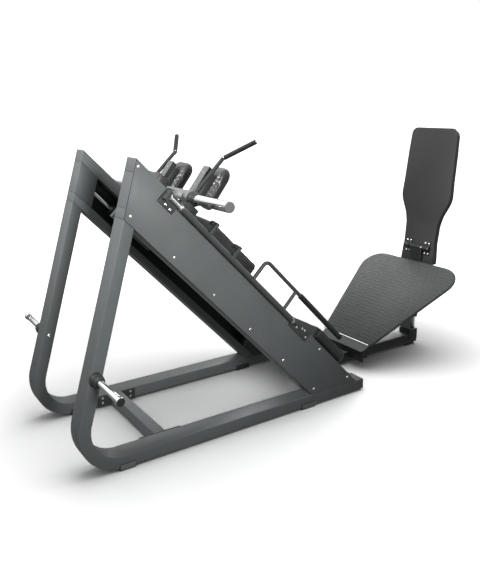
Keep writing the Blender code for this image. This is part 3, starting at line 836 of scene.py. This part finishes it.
def stage_plane():
    """A white floor with a painted contact shadow where the machine is close above it, that fades into the
    backdrop.
    """
    shape = bmesh.new()
    bmesh.ops.create_grid(shape, x_segments=1, y_segments=1, size=60.0)
    mesh = bpy.data.meshes.new("studio_floor")
    shape.to_mesh(mesh)
    shape.free()
    made = bpy.data.objects.new("studio_floor", mesh)
    made.location = (0.0, 0.0, -0.0005)
    bpy.context.scene.collection.objects.link(made)
    floor, tree, shader, coords = shader_material("studio_floor", (3.2, 3.2, 3.2), 0.90)
    shader.inputs["Specular IOR Level"].default_value = 0.0
    contact = tree.nodes.new("ShaderNodeAmbientOcclusion")
    contact.samples = 8
    contact.inputs["Distance"].default_value = SHADOW_REACH
    depth = tree.nodes.new("ShaderNodeMath")
    depth.operation = "POWER"
    depth.inputs[1].default_value = SHADOW_POWER
    tree.links.new(contact.outputs["AO"], depth.inputs[0])
    shades = ramp(tree, depth.outputs["Value"], (FLOOR_SHADOW,) * 3 + (1.0,),
                  (FLOOR_WHITE,) * 3 + (1.0,), 0.0, 1.0)
    tree.links.new(shades.outputs["Color"], shader.inputs["Base Color"])
    reach = tree.nodes.new("ShaderNodeVectorMath")
    reach.operation = "LENGTH"
    tree.links.new(coords.outputs["Object"], reach.inputs[0])
    fade = tree.nodes.new("ShaderNodeMapRange")
    fade.interpolation_type = "SMOOTHSTEP"
    fade.inputs["From Min"].default_value = FADE_FROM
    fade.inputs["From Max"].default_value = FADE_TO
    fade.inputs["To Min"].default_value = 0.0
    tree.links.new(reach.outputs["Value"], fade.inputs["Value"])
    shader.inputs["Emission Color"].default_value = (1.0, 1.0, 1.0, 1.0)
    tree.links.new(fade.outputs["Result"], shader.inputs["Emission Strength"])
    made.data.materials.append(floor)
    made.visible_diffuse = False
    made.visible_glossy = False
    return made


def aimed(name, data, place, target):
    lamp = bpy.data.objects.new(name, data)
    lamp.location = place
    lamp.rotation_euler = (Vector(target) - Vector(place)).to_track_quat("-Z", "Y").to_euler()
    bpy.context.scene.collection.objects.link(lamp)
    return lamp


def area_light(name, place, target, size, energy):
    data = bpy.data.lights.new(name, "AREA")
    data.shape = "RECTANGLE"
    data.size, data.size_y = size
    data.energy = energy
    aimed(name, data, place, target)


def spot_light(name, place, target, spread_deg, radius, energy, spared):
    """A spot that leaves the floor to the soft light above."""
    data = bpy.data.lights.new(name, "SPOT")
    data.spot_size = math.radians(spread_deg)
    data.spot_blend = 1.0
    data.shadow_soft_size = radius
    data.energy = energy
    lamp = aimed(name, data, place, target)
    linked = bpy.data.collections.new(name + "_receivers")
    linked.objects.link(spared)
    linked.collection_objects[0].light_linking.link_state = "EXCLUDE"
    lamp.light_linking.receiver_collection = linked


def gradient_sky(tree, height, stops, name):
    """A background whose level follows the height on the sky, from -1 to 1."""
    shift = tree.nodes.new("ShaderNodeMapRange")
    shift.inputs["From Min"].default_value = -1.0
    tree.links.new(height, shift.inputs["Value"])
    shades = tree.nodes.new("ShaderNodeValToRGB")
    while len(shades.color_ramp.elements) < len(stops):
        shades.color_ramp.elements.new(0.5)
    for element, (position, level) in zip(shades.color_ramp.elements, stops):
        element.position = position
        element.color = (level, level, level, 1.0)
    tree.links.new(shift.outputs["Result"], shades.inputs["Fac"])
    background = tree.nodes.new("ShaderNodeBackground")
    background.name = name
    tree.links.new(shades.outputs["Color"], background.inputs["Color"])
    return background.outputs["Background"]


def studio_world():
    """White round the horizon, greyer above it and dark below the floor."""
    world = bpy.data.worlds.new("studio")
    world.use_nodes = True
    tree = world.node_tree
    coords = tree.nodes.new("ShaderNodeTexCoord")
    split = tree.nodes.new("ShaderNodeSeparateXYZ")
    tree.links.new(coords.outputs["Generated"], split.inputs["Vector"])
    height = split.outputs["Z"]
    soft = gradient_sky(tree, height, ((0.0, 0.22), (0.45, 0.21), (0.50, 0.21), (0.60, 0.17), (0.66, 0.12),
                                       (1.0, 0.09)), "soft")
    mirror = gradient_sky(tree, height, ((0.0, 0.22), (0.46, 0.22), (0.51, 0.40), (0.60, 1.00), (0.78, 1.50),
                                         (1.0, 1.60)), "mirror")
    backdrop = tree.nodes["Background"]
    backdrop.inputs["Strength"].default_value = BACKDROP_LEVEL
    backdrop.inputs["Color"].default_value = (1.0, 1.0, 1.0, 1.0)
    rays = tree.nodes.new("ShaderNodeLightPath")
    glossy = tree.nodes.new("ShaderNodeMixShader")
    tree.links.new(rays.outputs["Is Glossy Ray"], glossy.inputs["Fac"])
    tree.links.new(soft, glossy.inputs[1])
    tree.links.new(mirror, glossy.inputs[2])
    choice = tree.nodes.new("ShaderNodeMixShader")
    tree.links.new(rays.outputs["Is Camera Ray"], choice.inputs["Fac"])
    tree.links.new(glossy.outputs["Shader"], choice.inputs[1])
    tree.links.new(backdrop.outputs["Background"], choice.inputs[2])
    tree.links.new(choice.outputs["Shader"], tree.nodes["World Output"].inputs["Surface"])
    bpy.context.scene.world = world


floor = stage_plane()
studio_world()
area_light("overhead", (0.3, -0.4, 4.0), (0.1, 0.0, 0.0), (4.6, 4.6), 34.0)
spot_light("key", (-1.3, -3.7, 1.7), (-0.84, -0.36, 1.06), 46.0, 0.40, 540.0, floor)
spot_light("rear", (-4.0, 0.3, 3.3), (-1.15, 0.0, 1.35), 36.0, 0.50, 920.0, floor)
spot_light("fill", (2.9, 3.3, 2.6), (0.1, 0.1, 0.7), 62.0, 0.80, 150.0, floor)
bpy.context.scene.view_settings.view_transform = "Standard"

camera_data = bpy.data.cameras.new("camera")
camera_data.lens = CAMERA_LENS
camera_data.sensor_width = CAMERA_SENSOR
camera_data.shift_y = CAMERA_SHIFT
camera_data.clip_end = 200.0
camera = bpy.data.objects.new("camera", camera_data)
camera.location = CAMERA_PLACE
camera.rotation_euler = tuple(math.radians(angle) for angle in CAMERA_TURN)
bpy.context.scene.collection.objects.link(camera)
bpy.context.scene.camera = camera
